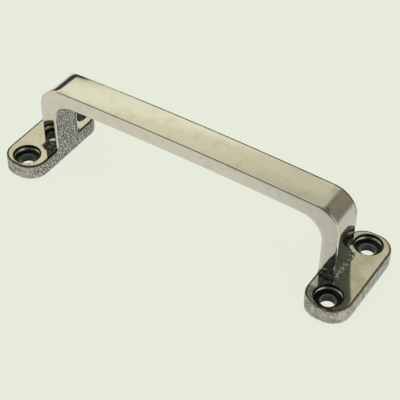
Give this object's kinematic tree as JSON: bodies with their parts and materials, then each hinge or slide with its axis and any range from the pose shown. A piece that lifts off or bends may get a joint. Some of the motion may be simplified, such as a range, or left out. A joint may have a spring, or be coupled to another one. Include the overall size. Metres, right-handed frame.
{
  "type": "bridge pull handle",
  "caption": "Cast and polished metal bridge handle: a crowned flat bar that turns down into legs on oblong feet with counterbored screw holes.",
  "frame": {"origin": "on the mounting plane, under the middle of the handle", "axes": "+X along the bar, +Z away from the panel that the feet are screwed to, +Y across the bar"},
  "size_m": [0.14, 0.04, 0.0344],
  "materials": {
    "cast_metal": "cast stainless steel, mirror polished on the bar's top and front, the legs' outer faces and the feet's tops, rough as cast inside the opening and round the feet"
  },
  "bodies": {
    "root": {"bridge_handle": "cast_metal"}
  },
  "joints": []
}
